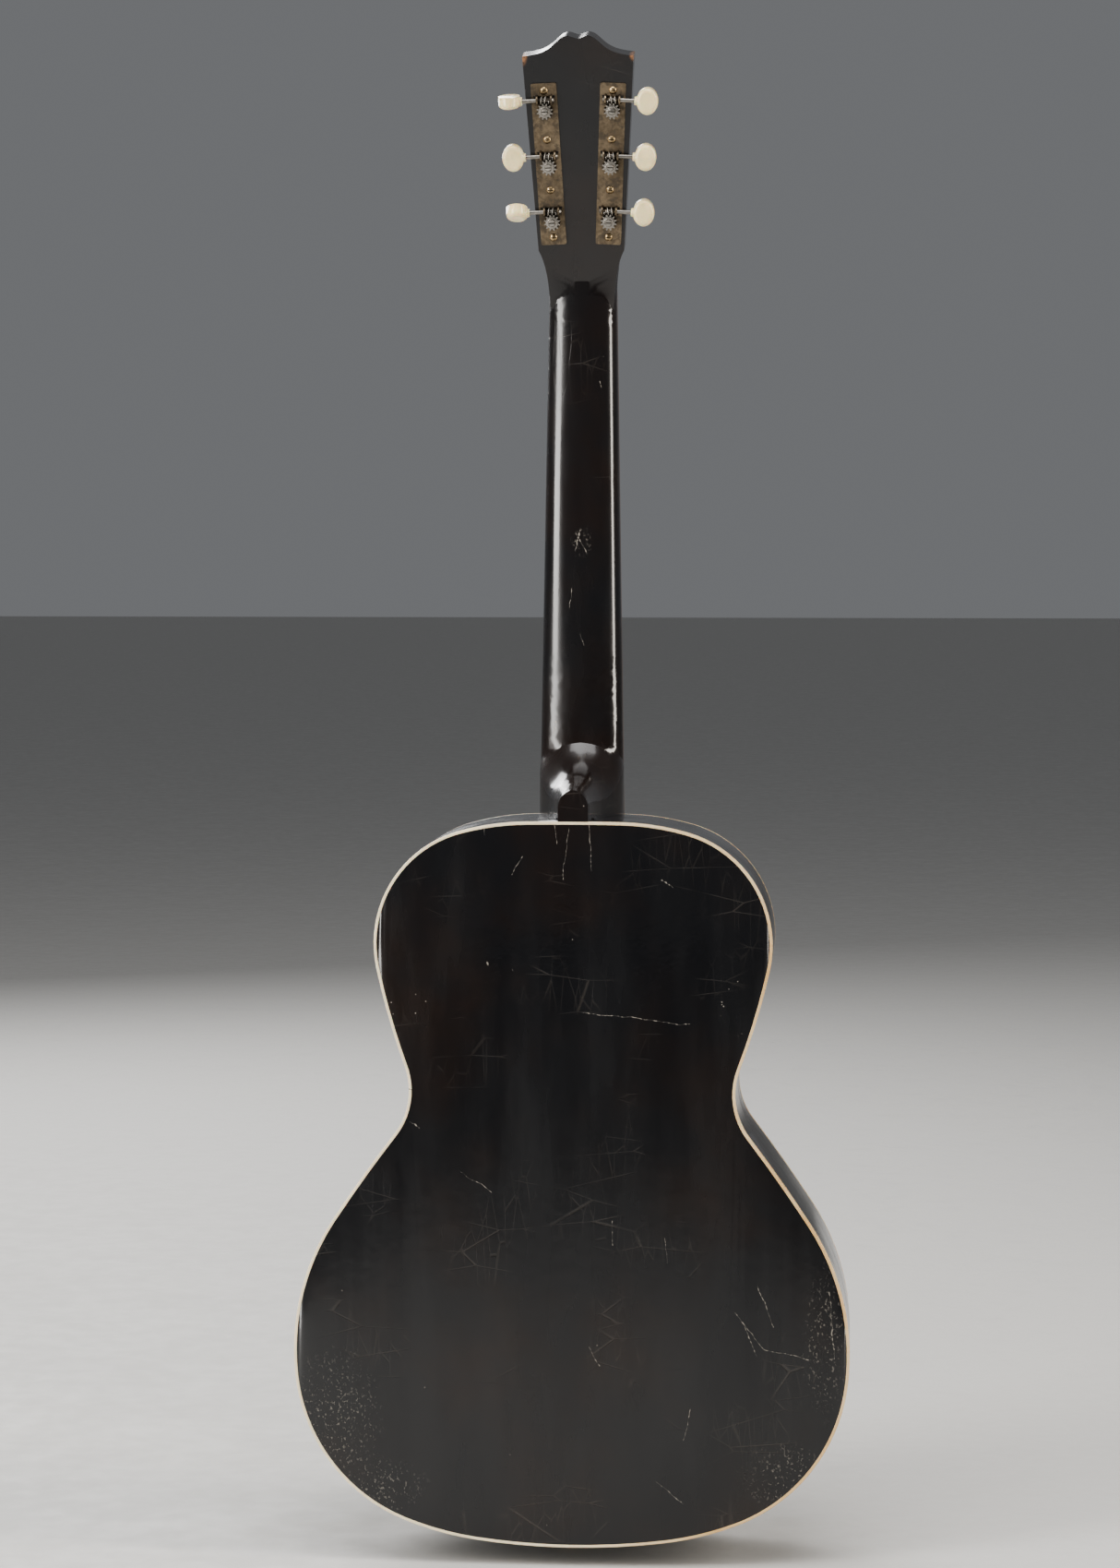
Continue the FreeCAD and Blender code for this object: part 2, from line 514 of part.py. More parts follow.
# ---------------------------------------------------------------- body
neck_block = box(-36, 36, TOP_T, 130, BODY_L - 48, BODY_L + 5).common(prism(SIDE_T, TOP_T, 130))
neck_block = neck_block.common(under_back(BACK_T)).cut(tenon).cut(channel)
tail_block = box(-32, 32, TOP_T, 130, -5, SIDE_T + 20).common(prism(SIDE_T, TOP_T, 130)).common(under_back(BACK_T))
strap_hole = cyl(3.5, V(0, -ORIGIN.y, 30), V(0, -ORIGIN.y, -5))
tail_block = tail_block.cut(strap_hole)

sides = prism(0, BIND_H, 130).common(under_back(BIND_H))
sides = sides.fuse(prism(BIND_W, TOP_T, 130).common(under_back(BACK_T)))
sides = sides.cut(prism(SIDE_T, 0, 130)).cut(tenon).cut(strap_hole).removeSplitter()
treble_side = sides.common(box(0, 200, -5, 130, -10, 480))
bass_side = sides.common(box(-200, 0, -5, 130, -10, 480))

top_binding = prism(0, 0, BIND_H).cut(prism(BIND_W, 0, BIND_H)).cut(tenon)
back_binding = prism(0, 60, 130).cut(prism(BIND_W, 60, 130)).common(under_back(0)).cut(under_back(BIND_H))
back_plate = prism(BIND_W, 60, 130).common(under_back(0)).cut(under_back(BACK_T))

blocks = box(-36, 36, -5, 130, BODY_L - 60, BODY_L + 5).fuse(box(-32, 32, -5, 130, -5, 60))
inner = prism(SIDE_T, TOP_T, 130).cut(prism(SIDE_T + LINING_W, TOP_T, 130)).cut(blocks)
front_lining = inner.common(prism(0, TOP_T, TOP_T + LINING_H))
back_lining = inner.common(under_back(BACK_T)).cut(under_back(BACK_T + LINING_H))
linings = front_lining.Solids + back_lining.Solids

# bracing inside the linings
room = prism(SIDE_T + LINING_W, TOP_T, 130)
X_Z, X_ANGLE = 247.0, 43
x_bars = [bar(0, X_Z, a, 520, 8, TOP_T, TOP_T + 13).common(room) for a in (X_ANGLE, -X_ANGLE)]
lap = [x_bars[0].common(x_bars[1]).common(box(-50, 50, y0, y1, 200, 300))
       for y0, y1 in ((TOP_T, TOP_T + 6.5), (TOP_T + 6.5, TOP_T + 13))]
x_braces = [x_bars[0].cut(lap[0]), x_bars[1].cut(lap[1])]
crossing = fuse(x_bars)
bridge_plate = box(-50, 50, TOP_T, TOP_T + 3, PIN_Z - 13, PIN_Z + 25).cut(crossing)
bridge_plate = max(bridge_plate.Solids, key=lambda s: s.Volume)
keep_off = crossing.fuse(bridge_plate)
braces = [bar(0, 387, 90, 300, 10, TOP_T, TOP_T + 15), bar(14, 118, 65, 160, 7, TOP_T, TOP_T + 9),
          bar(22, 76, 65, 150, 7, TOP_T, TOP_T + 8)]
for side in (-1, 1):
    braces.append(bar(side * 130, 154, side * 83, 110, 6, TOP_T, TOP_T + 6))
    braces.append(bar(side * 92, 214, side * 74, 110, 6, TOP_T, TOP_T + 6))
    braces.append(bar(side * 56, 346, 0, 44, 7, TOP_T, TOP_T + 5))
soundboard_braces = []
for b in braces:
    b = b.common(room).cut(keep_off)
    soundboard_braces.append(max(b.Solids, key=lambda s: s.Volume))

back_bars = []
for z in (70, 160, 268, 372):
    bow = box(-200, 200, 40, 130, z - 4.5, z + 4.5).common(prism(SIDE_T + LINING_W, 0, 130))
    back_bars.append(bow.common(under_back(BACK_T)).cut(under_back(BACK_T + 12)))
strip = box(-8, 8, 40, 130, 22.6, BODY_L - 48).common(under_back(BACK_T)).cut(under_back(BACK_T + 2.5))
for b in back_bars:
    strip = strip.cut(b)
back_braces = back_bars + strip.Solids

# soundboard: sound hole, rosette channels, pin holes, neck slot
hole = cyl(HOLE_R, V(0, -5, HOLE_Z), V(0, 30, HOLE_Z))
rosette = []
for r0, r1 in ((47.5, 49.0), (50.5, 54.5), (56.0, 57.5)):
    rosette.append(cyl(r1, V(0, 0, HOLE_Z), V(0, 1.0, HOLE_Z)).cut(cyl(r0, V(0, -1, HOLE_Z), V(0, 3, HOLE_Z))))
pin_holes = [cyl(PIN_R, V((3.5 - n) * PIN_SPACING, -12, PIN_Z), V((3.5 - n) * PIN_SPACING, 15, PIN_Z))
             for n in range(1, 7)]
soundboard = prism(BIND_W, 0, TOP_T).cut(hole).cut(tenon)
for cutter in rosette + pin_holes:
    soundboard = soundboard.cut(cutter)
for cutter in pin_holes:
    bridge_plate = bridge_plate.cut(cutter)

# teardrop guard beside the hole
def on_circle(r, a):
    return V(r * math.cos(math.radians(a)), 0, HOLE_Z + r * math.sin(math.radians(a)))


edge = Part.BSplineCurve()
edge.interpolate([on_circle(60, -78), V(27, 0, 243), V(50, 0, 231), V(76, 0, 239), V(90, 0, 264), V(88, 0, 300),
                  V(76, 0, 334), on_circle(60, 38)])
guard = Part.Face(Part.Wire([edge.toShape(), Part.Arc(on_circle(60, 38), on_circle(60, -20),
                                                      on_circle(60, -78)).toShape()]))
pickguard = guard.extrude(V(0, -1.2, 0))

# bridge with its saddle, pins and the strap pin
BRIDGE_HALF, BRIDGE_Z0, BRIDGE_Z1 = 76.0, PIN_Z - 9.0, SADDLE_Z + 8.0
profile = [(-BRIDGE_HALF, 0), (BRIDGE_HALF, 0), (BRIDGE_HALF, -3.2), (54, -4.2), (42, -BRIDGE_H), (-42, -BRIDGE_H),
           (-54, -4.2), (-BRIDGE_HALF, -3.2)]
bridge = polygon([V(x, y, BRIDGE_Z0) for x, y in profile]).extrude(V(0, 0, BRIDGE_Z1 - BRIDGE_Z0))
bridge = bridge.makeFillet(3.0, [e for e in bridge.Edges if abs(e.BoundBox.YLength - 3.2) < 1e-6
                                 and e.BoundBox.XLength < 1e-6 and e.BoundBox.ZLength < 1e-6])
SLOT_Y = -BRIDGE_H + 5.0
bridge = bridge.cut(box(-36, 36, -20, SLOT_Y, SADDLE_Z - 1.2, SADDLE_Z + 1.2))
for cutter in pin_holes:
    bridge = bridge.cut(cutter)
saddle_axis = V(0, BOARD_RADIUS - SADDLE_TOP, SADDLE_Z)
rounded = [V(0, SLOT_Y + 3, SADDLE_Z + 1.2), V(0, -SADDLE_TOP + 1.2, SADDLE_Z + 1.2), V(0, -SADDLE_TOP, SADDLE_Z),
           V(0, -SADDLE_TOP + 1.2, SADDLE_Z - 1.2), V(0, SLOT_Y + 3, SADDLE_Z - 1.2)]
section = Part.Face(Part.Wire([Part.makeLine(rounded[0], rounded[1]), Part.Arc(*rounded[1:4]).toShape(),
                               Part.makeLine(rounded[3], rounded[4]), Part.makeLine(rounded[4], rounded[0])]))
section.rotate(saddle_axis, V(0, 0, 1), -8)
saddle = section.revolve(saddle_axis, V(0, 0, 1), 16).common(box(-36, 36, -20, SLOT_Y, SADDLE_Z - 3, SADDLE_Z + 3))

bridge_pins = []
for n in range(1, 7):
    x = (3.5 - n) * PIN_SPACING
    top = -BRIDGE_H
    corners = [V(x, TOP_T + 3, PIN_Z), V(x, TOP_T + 3, PIN_Z - PIN_R), V(x, top, PIN_Z - PIN_R),
               V(x, top - 2.6, PIN_Z - 3.4)]
    edges = [Part.makeLine(a, b) for a, b in zip(corners, corners[1:])]
    edges.append(Part.makeLine(corners[-1], V(x, top - 3.6, PIN_Z - 2.9)))
    edges.append(Part.makeLine(V(x, top - 3.6, PIN_Z - 2.9), V(x, top - 4.4, PIN_Z - 1.6)))
    edges.append(Part.makeLine(V(x, top - 4.4, PIN_Z - 1.6), V(x, top - 4.6, PIN_Z)))
    edges.append(Part.makeLine(V(x, top - 4.6, PIN_Z), corners[0]))
    pin = Part.Face(Part.Wire(edges)).revolve(corners[0], V(0, 1, 0), 360)
    groove_z = PIN_Z + PIN_R - 0.15 - STRING_R[5]
    pin = pin.cut(box(x - 0.95, x + 0.95, -BRIDGE_H - 2.0, 20, groove_z - 0.95, groove_z + 5))
    bridge_pins.append(pin.removeSplitter())

strap_y = -ORIGIN.y
strap = cyl(3.5, V(0, strap_y, SIDE_T + 20), V(0, strap_y, 0))
strap = strap.fuse(cyl(5.6, V(0, strap_y, 0), V(0, strap_y, -1.5)))
strap = strap.fuse(Part.makeCone(5.6, 3.6, 2.0, V(0, strap_y, -1.5), V(0, 0, -1)))
strap = strap.fuse(cyl(3.6, V(0, strap_y, -3.5), V(0, strap_y, -6.0)))
strap = strap.fuse(Part.makeCone(3.6, STRAP_R, 1.5, V(0, strap_y, -6.0), V(0, 0, -1)))
strap = strap.fuse(cyl(STRAP_R, V(0, strap_y, -7.5), V(0, strap_y, -7.5 - STRAP_RIM)))
strap = strap.fuse(Part.makeCone(STRAP_R, 3.0, 1.6, V(0, strap_y, -7.5 - STRAP_RIM), V(0, 0, -1)))
end_pin = strap.removeSplitter()

for name, shapes in (("fingerboard", [board]), ("frets", frets), ("fret_markers", markers), ("nut", [nut]),
                     ("neck_block", [neck_block]), ("tail_block", [tail_block]), ("treble_side", [treble_side]),
                     ("bass_side", [bass_side]), ("top_binding", [top_binding]), ("back_binding", [back_binding]),
                     ("back_plate", [back_plate]), ("linings", linings), ("x_braces", x_braces),
                     ("soundboard_braces", soundboard_braces), ("bridge_plate", [bridge_plate]),
                     ("back_braces", back_braces), ("soundboard", [soundboard]), ("rosette", rosette),
                     ("pickguard", [pickguard]), ("bridge", [bridge]), ("saddle", [saddle]),
                     ("bridge_pins", bridge_pins), ("end_pin", [end_pin])):
    save(name, shapes)
for n, string in enumerate(strings, 1):
    save("string_%d" % n, string)
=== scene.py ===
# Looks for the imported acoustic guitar: aged black lacquer, cream binding, open tuners. Metres, row frame.
import math

import bpy
from mathutils import Matrix, Vector

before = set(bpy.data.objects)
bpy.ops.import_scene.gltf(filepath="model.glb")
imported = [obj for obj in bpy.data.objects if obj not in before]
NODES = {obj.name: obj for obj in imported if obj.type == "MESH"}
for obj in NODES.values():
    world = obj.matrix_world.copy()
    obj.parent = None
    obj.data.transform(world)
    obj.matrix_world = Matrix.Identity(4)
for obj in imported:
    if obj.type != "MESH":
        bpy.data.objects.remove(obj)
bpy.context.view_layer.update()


# ------------------------------------------------------------------ shader helpers
class Graph:
    """A material or node group being built; every call adds a node and returns its first output."""

    def __init__(self, tree):
        self.tree = tree

    def add(self, kind, **props):
        n = self.tree.nodes.new(kind)
        for k, v in props.items():
            setattr(n, k, v)
        return n

    def put(self, socket, value):
        if isinstance(value, bpy.types.NodeSocket):
            self.tree.links.new(value, socket)
        elif value is not None:
            socket.default_value = value

    def math(self, op, a, b=None, c=None, clamp=False):
        n = self.add("ShaderNodeMath", operation=op, use_clamp=clamp)
        for i, v in enumerate((a, b, c)):
            self.put(n.inputs[i], v)
        return n.outputs[0]

    def vmath(self, op, a, b=None, scale=None):
        n = self.add("ShaderNodeVectorMath", operation=op)
        self.put(n.inputs[0], a)
        self.put(n.inputs[1], b)
        if scale is not None:
            self.put(n.inputs["Scale"], scale)
        return n.outputs["Value"] if op in ("LENGTH", "DISTANCE", "DOT_PRODUCT") else n.outputs[0]

    def place(self, scale=(1, 1, 1), turn=(0, 0, 0), shift=(0, 0, 0)):
        c = self.add("ShaderNodeTexCoord").outputs["Object"]
        m = self.add("ShaderNodeMapping")
        self.put(m.inputs["Vector"], c)
        m.inputs["Location"].default_value = shift
        m.inputs["Rotation"].default_value = turn
        m.inputs["Scale"].default_value = scale
        return m.outputs[0]

    def noise(self, vector, scale, detail=3.0, rough=0.55, distort=0.0):
        n = self.add("ShaderNodeTexNoise")
        self.put(n.inputs["Vector"], vector)
        n.inputs["Scale"].default_value = scale
        n.inputs["Detail"].default_value = detail
        n.inputs["Roughness"].default_value = rough
        n.inputs["Distortion"].default_value = distort
        return n.outputs["Fac"]

    def cells(self, vector, scale, feature="DISTANCE_TO_EDGE"):
        n = self.add("ShaderNodeTexVoronoi", feature=feature)
        self.put(n.inputs["Vector"], vector)
        n.inputs["Scale"].default_value = scale
        return n.outputs["Distance"]

    def step(self, value, low, high, to=(0.0, 1.0)):
        """Smooth ramp of value from to[0] at low up to to[1] at high."""
        n = self.add("ShaderNodeMapRange", interpolation_type="SMOOTHSTEP")
        self.put(n.inputs["Value"], value)
        n.inputs["From Min"].default_value = low
        n.inputs["From Max"].default_value = high
        n.inputs["To Min"].default_value = to[0]
        n.inputs["To Max"].default_value = to[1]
        return n.outputs[0]

    def mix(self, fac, a, b):
        n = self.add("ShaderNodeMix", data_type="RGBA")
        self.put(n.inputs[0], fac)
        self.put(n.inputs[6], a if isinstance(a, bpy.types.NodeSocket) else (*a, 1))
        self.put(n.inputs[7], b if isinstance(b, bpy.types.NodeSocket) else (*b, 1))
        return n.outputs[2]

    def bump(self, height, distance, strength=1.0, normal=None):
        n = self.add("ShaderNodeBump")
        self.put(n.inputs["Height"], height)
        n.inputs["Distance"].default_value = distance
        n.inputs["Strength"].default_value = strength
        self.put(n.inputs["Normal"], normal)
        return n.outputs[0]

    def cavity(self, distance=0.002):
        """Ambient occlusion: below 1 in recesses."""
        n = self.add("ShaderNodeAmbientOcclusion", inside=False, only_local=True, samples=6)
        n.inputs["Distance"].default_value = distance
        return n.outputs["AO"]


def material(name, color, rough, metallic=0.0, coat=0.0, coat_rough=0.1, **inputs):
    m = bpy.data.materials.new(name)
    m.use_nodes = True
    g = Graph(m.node_tree)
    p = m.node_tree.nodes["Principled BSDF"]
    p.inputs["Base Color"].default_value = (*color, 1)
    p.inputs["Roughness"].default_value = rough
    p.inputs["Metallic"].default_value = metallic
    p.inputs["Coat Weight"].default_value = coat
    p.inputs["Coat Roughness"].default_value = coat_rough
    for k, v in inputs.items():
        p.inputs[k.replace("_", " ")].default_value = v
    return m, g, p


def near(g, centre, radii, soft=0.5):
    """1 inside an ellipsoid, fading to 0 at its surface."""
    d = g.vmath("SUBTRACT", g.add("ShaderNodeTexCoord").outputs["Object"], centre)
    d = g.vmath("DIVIDE", d, radii)
    return g.step(g.vmath("LENGTH", d), 1.0, 1.0 - soft)


def stroke_group():
    """Node group: a thin scratch between two points, ragged along its length."""
    t = bpy.data.node_groups.new("stroke", "ShaderNodeTree")
    for name, kind in (("A", "Vector"), ("B", "Vector"), ("Width", "Float")):
        t.interface.new_socket(name, in_out="INPUT", socket_type="NodeSocket" + kind)
    t.interface.new_socket("Mask", in_out="OUTPUT", socket_type="NodeSocketFloat")
    g = Graph(t)
    i, o = g.add("NodeGroupInput"), g.add("NodeGroupOutput")
    c = g.add("ShaderNodeTexCoord").outputs["Object"]
    wob = g.add("ShaderNodeTexNoise")
    g.put(wob.inputs["Vector"], c)
    wob.inputs["Scale"].default_value = 90
    wob.inputs["Detail"].default_value = 3
    drift = g.vmath("SUBTRACT", wob.outputs["Color"], (0.5, 0.5, 0.5))
    c = g.vmath("ADD", c, g.vmath("SCALE", drift, scale=0.004))
    flat = (1, 0, 1)                          # scratches are placed by x and z, whatever the surface's depth
    ab = g.vmath("MULTIPLY", g.vmath("SUBTRACT", i.outputs["B"], i.outputs["A"]), flat)
    ap = g.vmath("MULTIPLY", g.vmath("SUBTRACT", c, i.outputs["A"]), flat)
    k = g.math("DIVIDE", g.vmath("DOT_PRODUCT", ap, ab), g.vmath("DOT_PRODUCT", ab, ab), clamp=True)
    off = g.vmath("LENGTH", g.vmath("SUBTRACT", ap, g.vmath("SCALE", ab, scale=k)))
    ragged = g.math("MULTIPLY", i.outputs["Width"], g.step(g.noise(c, 520, 3), 0.44, 0.66, (0.08, 0.85)))
    g.put(o.inputs[0], g.math("SUBTRACT", 1.0, g.math("DIVIDE", off, ragged), clamp=True))
    return t


STROKE = stroke_group()


def strokes(g, lines):
    total = None
    for a, b, width in lines:
        n = g.add("ShaderNodeGroup")
        n.node_tree = STROKE
        n.inputs["A"].default_value = a
        n.inputs["B"].default_value = b
        n.inputs["Width"].default_value = width
        total = n.outputs[0] if total is None else g.math("MAXIMUM", total, n.outputs[0])
    return total


def hairlines(g, turn, scale, low, high):
    """Fine parallel scratches: noise squeezed along one direction, thresholded."""
    long = g.place((3.5 * scale, 3.5 * scale, 190 * scale), turn)
    return g.step(g.noise(long, 1.0, 2.0, 0.5, 0.35), low, high)


def lacquer(name, lines, wear):
    """Aged black lacquer. lines: single scratches; wear: (centre, radii) of speckled chipping."""
    m, g, p = material(name, (0.006, 0.006, 0.007), 0.22, coat=0.55, coat_rough=0.06)
    wide = g.noise(g.place(), 7.0, 4.0, 0.6)
    smear = g.noise(g.place((30, 30, 6)), 1.0, 4.0, 0.6)
    brown = g.mix(g.step(wide, 0.40, 0.72), (0.0045, 0.0045, 0.0055), (0.013, 0.0065, 0.004))
    # crazing: two families of long cells, their edges drawn as hair cracks
    warp = g.place((14, 14, 55), (0.0, 0.12, 0.0))
    cracks = g.math("SUBTRACT", 1.0, g.step(g.cells(warp, 1.0), 0.004, 0.016), clamp=True)
    fine = g.math("SUBTRACT", 1.0, g.step(g.cells(g.place((150, 150, 26)), 1.0), 0.006, 0.03), clamp=True)
    gate = g.step(g.noise(g.place(), 16.0, 2.0), 0.50, 0.66)
    cracks = g.math("MULTIPLY", g.math("MAXIMUM", cracks, g.math("MULTIPLY", fine, 0.6)), gate)
    # faint random scratches in three directions
    hair = None
    for turn, s, lo in (((0, 0.5, 0.2), 1.0, 0.71), ((0, -0.9, 0.1), 1.2, 0.72), ((0, 1.45, 0), 0.9, 0.725)):
        h = hairlines(g, turn, s, lo, lo + 0.03)
        hair = h if hair is None else g.math("MAXIMUM", hair, h)
    hair = g.math("MULTIPLY", hair, g.step(g.noise(g.place(), 5.0, 2.0), 0.52, 0.68))
    # specks and chips
    speck = g.step(g.cells(g.place(), 210.0, "F1"), 0.11, 0.07)
    speck = g.math("MULTIPLY", speck, g.step(g.noise(g.place(), 24.0, 2.0), 0.66, 0.72))
    chips = g.step(g.noise(g.place((1, 1, 0.8)), 620.0, 3.0, 0.6), 0.58, 0.66)
    area = None
    for centre, radii in wear:
        a = near(g, centre, radii, 0.8)
        area = a if area is None else g.math("MAXIMUM", area, a)
    marks = g.math("MAXIMUM", g.math("MULTIPLY", speck, 0.5), g.math("MULTIPLY", hair, 0.035))
    if area is not None:
        marks = g.math("MAXIMUM", marks, g.math("MULTIPLY", g.math("MULTIPLY", chips, area), 0.26))
    if lines:
        marks = g.math("MAXIMUM", marks, g.math("MULTIPLY", strokes(g, lines), 0.62))
    color = g.mix(marks, brown, (0.46, 0.42, 0.36))
    color = g.mix(g.math("MULTIPLY", cracks, 0.22), color, (0.10, 0.085, 0.07))
    g.put(p.inputs["Base Color"], color)
    polish = g.step(smear, 0.3, 0.75, (0.16, 0.34))
    g.put(p.inputs["Roughness"], g.math("ADD", polish, g.math("MULTIPLY", marks, 0.4)))
    g.put(p.inputs["Coat Weight"], g.math("MULTIPLY", g.math("SUBTRACT", 1.0, marks, clamp=True), 0.6))
    g.put(p.inputs["Coat Roughness"], g.step(smear, 0.35, 0.8, (0.05, 0.2)))
    cuts = g.math("MULTIPLY", g.math("MAXIMUM", marks, cracks), 0.12)
    height = g.math("SUBTRACT", g.math("MULTIPLY", wide, 0.6), cuts)
    normal = g.bump(height, 0.0012, 0.5)
    g.put(p.inputs["Normal"], normal)
    g.put(p.inputs["Coat Normal"], g.bump(g.noise(g.place(), 60.0, 3.0), 0.00025, 0.5))
    return m


# single scratches on the arched back: two ends (x, z) and a width, in metres
def on_back(x, z):
    return (x, 0.050, z)


BACK_LINES = [
    (on_back(-0.006, 0.346), on_back(-0.026, 0.345), 0.0005), (on_back(-0.026, 0.345), on_back(-0.074, 0.339), 0.0005),
    (on_back(-0.056, 0.430), on_back(-0.064, 0.425), 0.0010), (on_back(0.056, 0.468), on_back(0.056, 0.458), 0.0007),
    (on_back(0.032, 0.444), on_back(0.038, 0.432), 0.0005), (on_back(0.053, 0.377), on_back(0.0525, 0.376), 0.0014),
    (on_back(0.038, 0.373), on_back(0.0375, 0.372), 0.0012), (on_back(0.102, 0.276), on_back(0.096, 0.272), 0.0008),
    (on_back(-0.118, 0.176), on_back(-0.128, 0.150), 0.0006), (on_back(-0.104, 0.158), on_back(-0.122, 0.136), 0.0007),
    (on_back(-0.122, 0.136), on_back(-0.150, 0.130), 0.0005), (on_back(-0.163, 0.172), on_back(-0.166, 0.130), 0.0007),
    (on_back(-0.110, 0.150), on_back(-0.117, 0.132), 0.0006), (on_back(-0.076, 0.098), on_back(-0.072, 0.078), 0.0005),
    (on_back(-0.055, 0.052), on_back(-0.072, 0.038), 0.0006), (on_back(-0.060, 0.205), on_back(-0.061, 0.190), 0.0005),
    (on_back(-0.026, 0.215), on_back(-0.027, 0.200), 0.0004), (on_back(0.003, 0.462), on_back(0.006, 0.430), 0.0004),
    (on_back(-0.010, 0.466), on_back(-0.012, 0.436), 0.0004), (on_back(0.012, 0.466), on_back(0.010, 0.452), 0.0004),
    (on_back(0.070, 0.245), on_back(0.050, 0.232), 0.0004), (on_back(-0.012, 0.136), on_back(-0.018, 0.124), 0.0005),
]
BACK_WEAR = [((0.150, 0.045, 0.085), (0.040, 0.03, 0.060)), ((0.120, 0.045, 0.045), (0.040, 0.03, 0.024)),
             ((-0.140, 0.045, 0.055), (0.040, 0.03, 0.030)), ((-0.160, 0.045, 0.140), (0.018, 0.03, 0.060))]

LACQUER_BACK = lacquer("lacquer_back", BACK_LINES, BACK_WEAR)
LACQUER_SIDE = lacquer("lacquer_side", [], [((0.17, 0.0, 0.12), (0.03, 0.06, 0.09)), ((-0.17, 0.0, 0.1), (0.03, 0.06, 0.07))])
NECK_LINES = [((0.0, -0.036, 0.650), (0.004, -0.036, 0.637), 0.0012), ((0.003, -0.036, 0.648), (-0.004, -0.036, 0.634), 0.0008),
              ((0.017, -0.038, 0.526), (0.018, -0.038, 0.518), 0.0016), ((0.0, -0.036, 0.582), (-0.002, -0.036, 0.575), 0.0006),
              ((-0.012, -0.040, 0.745), (-0.013, -0.040, 0.741), 0.0006), ((0.006, -0.036, 0.612), (0.007, -0.036, 0.600), 0.0005)]
LACQUER_NECK = lacquer("lacquer_neck", NECK_LINES, [((0.0, -0.036, 0.643), (0.010, 0.02, 0.012))])


def worn_edges(m, zones):
    """Bare orange-brown wood shows on convex edges near the given places."""
    g = Graph(m.node_tree)
    p = m.node_tree.nodes["Principled BSDF"]
    under = p.inputs["Base Color"].links[0].from_socket
    zone = None
    for centre, radii in zones:
        a = near(g, centre, radii, 0.55)
        zone = a if zone is None else g.math("MAXIMUM", zone, a)
    zone = g.math("MULTIPLY", zone, g.step(g.noise(g.place(), 260.0, 4.0, 0.7), 0.36, 0.52))
    wood = g.mix(g.noise(g.place((300, 300, 40)), 1.0, 3.0), (0.17, 0.07, 0.028), (0.42, 0.21, 0.10))
    g.put(p.inputs["Base Color"], g.mix(zone, under, wood))


def plain(name, color, rough, metallic=0.0, coat=0.0, grain=(60, 60, 60), vary=0.25, bump=0.0, recess_shade=None, **inputs):
    """A surface with large and small colour variation, roughness variation and painted shade in its recesses."""
    m, g, p = material(name, color, rough, metallic, coat, **inputs)
    broad, small = g.noise(g.place(), 45.0, 4.0, 0.6), g.noise(g.place(grain), 1.0, 5.0, 0.65)
    tone = g.math("ADD", g.math("MULTIPLY", broad, 0.6), g.math("MULTIPLY", small, 0.4))
    dark = tuple(c * (1 - vary) for c in color)
    light = tuple(min(1.0, c * (1 + vary)) for c in color)
    c = g.mix(g.step(tone, 0.32, 0.68), dark, light)
    # painted shade: where ambient occlusion finds a recess, the colour is drawn towards the given dark colour
    if recess_shade:
        c = g.mix(g.step(g.cavity(), 0.95, 0.45), c, recess_shade)
    g.put(p.inputs["Base Color"], c)
    g.put(p.inputs["Roughness"], g.step(tone, 0.3, 0.7, (min(1, rough * 1.35), rough * 0.75)))
    if bump:
        g.put(p.inputs["Normal"], g.bump(small, bump, 0.6))
    return m, g, p


# the headstock's crown and corners are worn through to the wood
worn_edges(LACQUER_NECK, [((0.014, 0.018, 0.9655), (0.011, 0.03, 0.006)), ((-0.014, 0.018, 0.9655), (0.010, 0.03, 0.006)),
                          ((0.0352, 0.012, 0.9500), (0.0045, 0.03, 0.011)), ((-0.0352, 0.012, 0.9500), (0.004, 0.03, 0.008))])


# the recess colours passed to plain() below are painted shade, laid in by ambient occlusion
# cream celluloid: warmer and darker towards negative x, the bass side
CREAM, g, p = plain("binding", (0.78, 0.68, 0.48), 0.3, coat=0.3, vary=0.1, recess_shade=(0.20, 0.11, 0.04),
                    Subsurface_Weight=0.15, Subsurface_Scale=0.002)
base = p.inputs["Base Color"].links[0].from_socket
split = g.add("ShaderNodeSeparateXYZ")
g.put(split.inputs[0], g.place())
side = g.step(split.outputs[0], 0.02, -0.10)
warm = g.math("MULTIPLY", side, g.step(g.noise(g.place(), 18.0, 3.0), 0.3, 0.7, (0.45, 1.0)))
base = g.mix(warm, base, (0.62, 0.40, 0.17))
nicks = strokes(g, [((0.1036, 0.035, 0.2975), (0.099, 0.045, 0.2965), 0.0011), ((-0.085, 0.04, 0.44), (-0.087, 0.04, 0.444), 0.0008)])
g.put(p.inputs["Base Color"], g.mix(nicks, base, (0.05, 0.03, 0.02)))

BUTTON, g, p = plain("button", (0.83, 0.71, 0.42), 0.26, coat=0.35, grain=(220, 220, 220), vary=0.12,
                     recess_shade=(0.33, 0.21, 0.08), Subsurface_Weight=0.35, Subsurface_Scale=0.004)
BRASS, g, p = plain("aged_brass", (0.215, 0.170, 0.118), 0.40, 1.0, grain=(420, 420, 420), vary=0.45, bump=0.00012,
                    recess_shade=(0.02, 0.016, 0.012))
base = p.inputs["Base Color"].links[0].from_socket
blotch = g.step(g.noise(g.place(), 150.0, 5.0, 0.7), 0.47, 0.60)
g.put(p.inputs["Base Color"], g.mix(g.math("MULTIPLY", blotch, 0.75), base, (0.075, 0.062, 0.048)))
g.put(p.inputs["Metallic"], g.step(blotch, 0.0, 1.0, (1.0, 0.75)))
STEEL, g, p = plain("worn_steel", (0.36, 0.34, 0.31), 0.34, 1.0, grain=(500, 500, 500), vary=0.35, bump=0.00005,
                    recess_shade=(0.03, 0.022, 0.015))
SCREW, _, _ = plain("brass_screw", (0.33, 0.25, 0.15), 0.33, 1.0, grain=(500, 500, 500), vary=0.3, recess_shade=(0.04, 0.03, 0.018))
